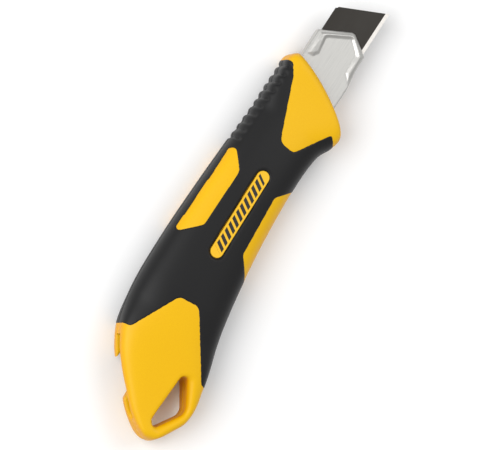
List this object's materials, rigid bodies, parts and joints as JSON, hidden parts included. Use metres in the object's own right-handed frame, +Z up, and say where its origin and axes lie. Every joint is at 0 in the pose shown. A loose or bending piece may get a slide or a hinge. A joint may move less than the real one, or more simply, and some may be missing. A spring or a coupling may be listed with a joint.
{
  "type": "utility knife",
  "caption": "Snap-off utility knife: yellow handle with moulded rubber grips, steel blade channel, sliding blade with a sprung lock button and a lanyard hole at the tail.",
  "frame": {"origin": "centre of the whole knife's bounding box, at the resting plane, lying with the slider side down", "axes": "+X along the blade towards its tip, +Y towards the blade's back, +Z up out of the badge side"},
  "size_m": [0.1792, 0.0446, 0.0196],
  "materials": {
    "nylon_yellow": "satin, fine moulded grain",
    "grip_rubber": "matte, finely textured",
    "badge_plastic": "satin",
    "stainless_sheet": "brushed stainless",
    "fastener_steel": "turned, bright zinc",
    "blade_steel": "black oxide with a ground bevel",
    "zinc_steel": "zinc plated",
    "spring_steel": "blued spring steel",
    "button_plastic": "satin, ribbed",
    "guide_nylon": "matte"
  },
  "bodies": {
    "handle": {"badge_side_shell": "nylon_yellow", "slider_side_shell": "nylon_yellow", "badge_side_grip": "grip_rubber", "back_pad": "grip_rubber", "belly_pad": "grip_rubber", "badge_plate": "badge_plastic", "blade_channel": "stainless_sheet", "locating_pins": "fastener_steel", "shell_screws": "fastener_steel", "blade_guide": "guide_nylon"},
    "blade_slide": {"blade": "blade_steel", "blade_carrier": "zinc_steel", "blade_stud": "fastener_steel", "lock_spring": "spring_steel"},
    "button": {"slider_button": "button_plastic", "slider_rivet": "fastener_steel"}
  },
  "joints": [
    {"name": "blade_travel", "type": "slide", "parent": "handle", "child": "blade_slide", "axis": [1, 0, 0], "range_m": [-0.04, 0.04], "deforming": ["lock_spring"]},
    {"name": "button_release", "type": "slide", "parent": "blade_slide", "child": "button", "axis": [1, 0, 0], "range_m": [-0.0012, 0.0012], "stiffness_N_per_m": 2500}
  ]
}
